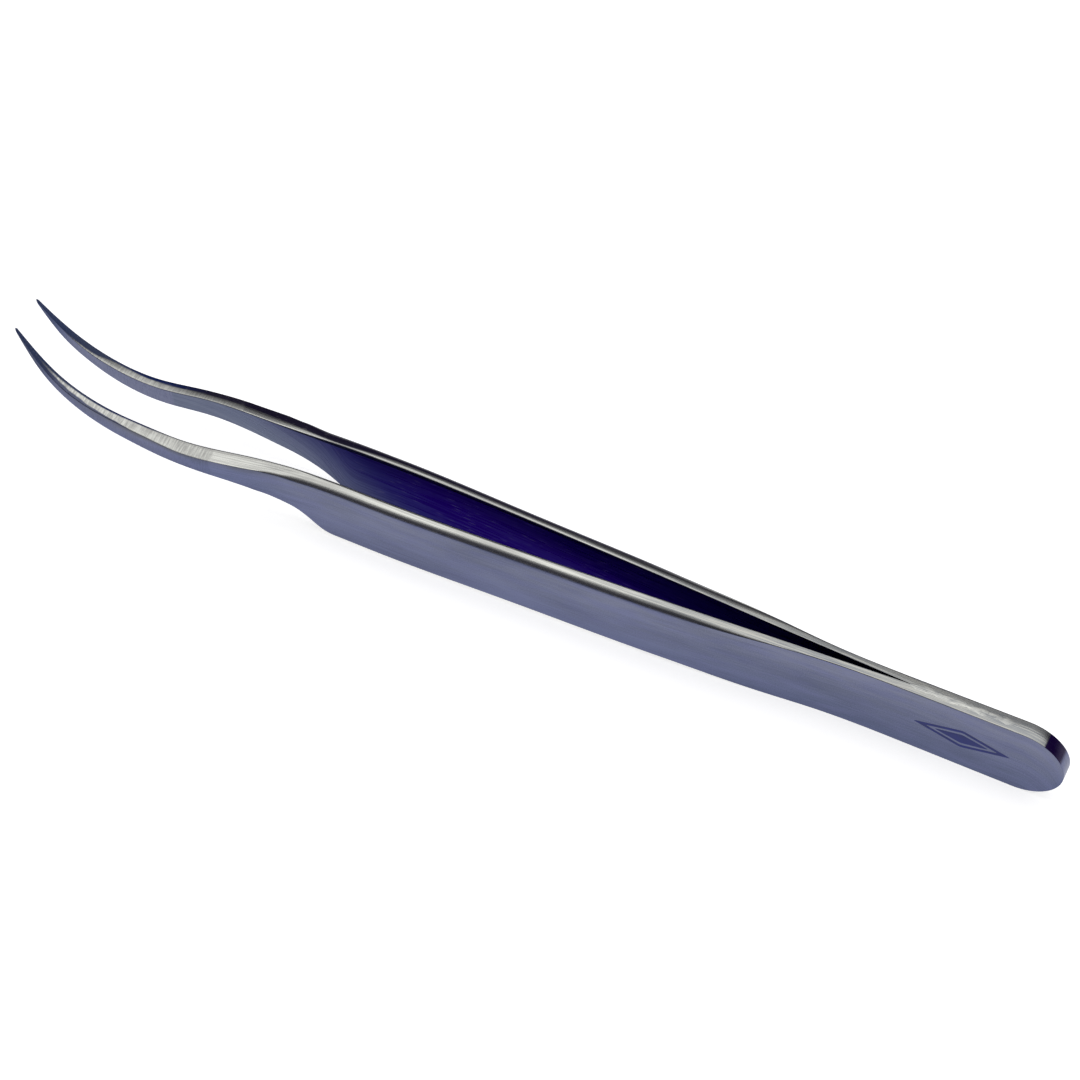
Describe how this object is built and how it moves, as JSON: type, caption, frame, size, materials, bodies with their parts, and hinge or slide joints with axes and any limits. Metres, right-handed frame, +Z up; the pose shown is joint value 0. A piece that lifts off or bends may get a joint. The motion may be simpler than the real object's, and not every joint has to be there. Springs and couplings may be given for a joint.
{
  "type": "precision tweezers",
  "caption": "Spring-steel tweezers with two blades welded at a round butt, a stepped shoulder and long, fine tips that curve upward.",
  "frame": {"origin": "centre of the footprint at the height of the blades' straight lower edges, which the tweezers stand on", "axes": "+X from the tips to the butt, +Y from the near blade to the far blade along the opening direction, +Z up, the way the tips curve"},
  "size_m": [0.12, 0.009, 0.0133],
  "materials": {
    "blade_steel": "satin, brushed lengthwise, with a cool blue cast",
    "weld_steel": "fused steel ground flush, mottled"
  },
  "bodies": {
    "butt": {"near_blade_tang": "blade_steel", "far_blade_tang": "blade_steel", "rear_weld_nugget": "weld_steel", "front_weld_nugget": "weld_steel", "upper_weld_seam": "weld_steel", "lower_weld_seam": "weld_steel"},
    "near_arm": {"near_blade_arm": "blade_steel"},
    "far_arm": {"far_blade_arm": "blade_steel"}
  },
  "joints": [
    {"name": "near_blade_flex", "type": "hinge", "parent": "butt", "child": "near_arm", "pos_m": [0.031, -0.0009, 0.0048], "axis": [0, 0, -1], "range_deg": [0, 1.26], "stiffness_Nm_per_rad": 1.6},
    {"name": "far_blade_flex", "type": "hinge", "parent": "butt", "child": "far_arm", "pos_m": [0.031, 0.0009, 0.0048], "axis": [0, 0, 1], "range_deg": [0, 1.26], "stiffness_Nm_per_rad": 1.6}
  ],
  "couplings": [
    {"joint": "far_blade_flex", "follows": "near_blade_flex", "ratio": 1}
  ]
}
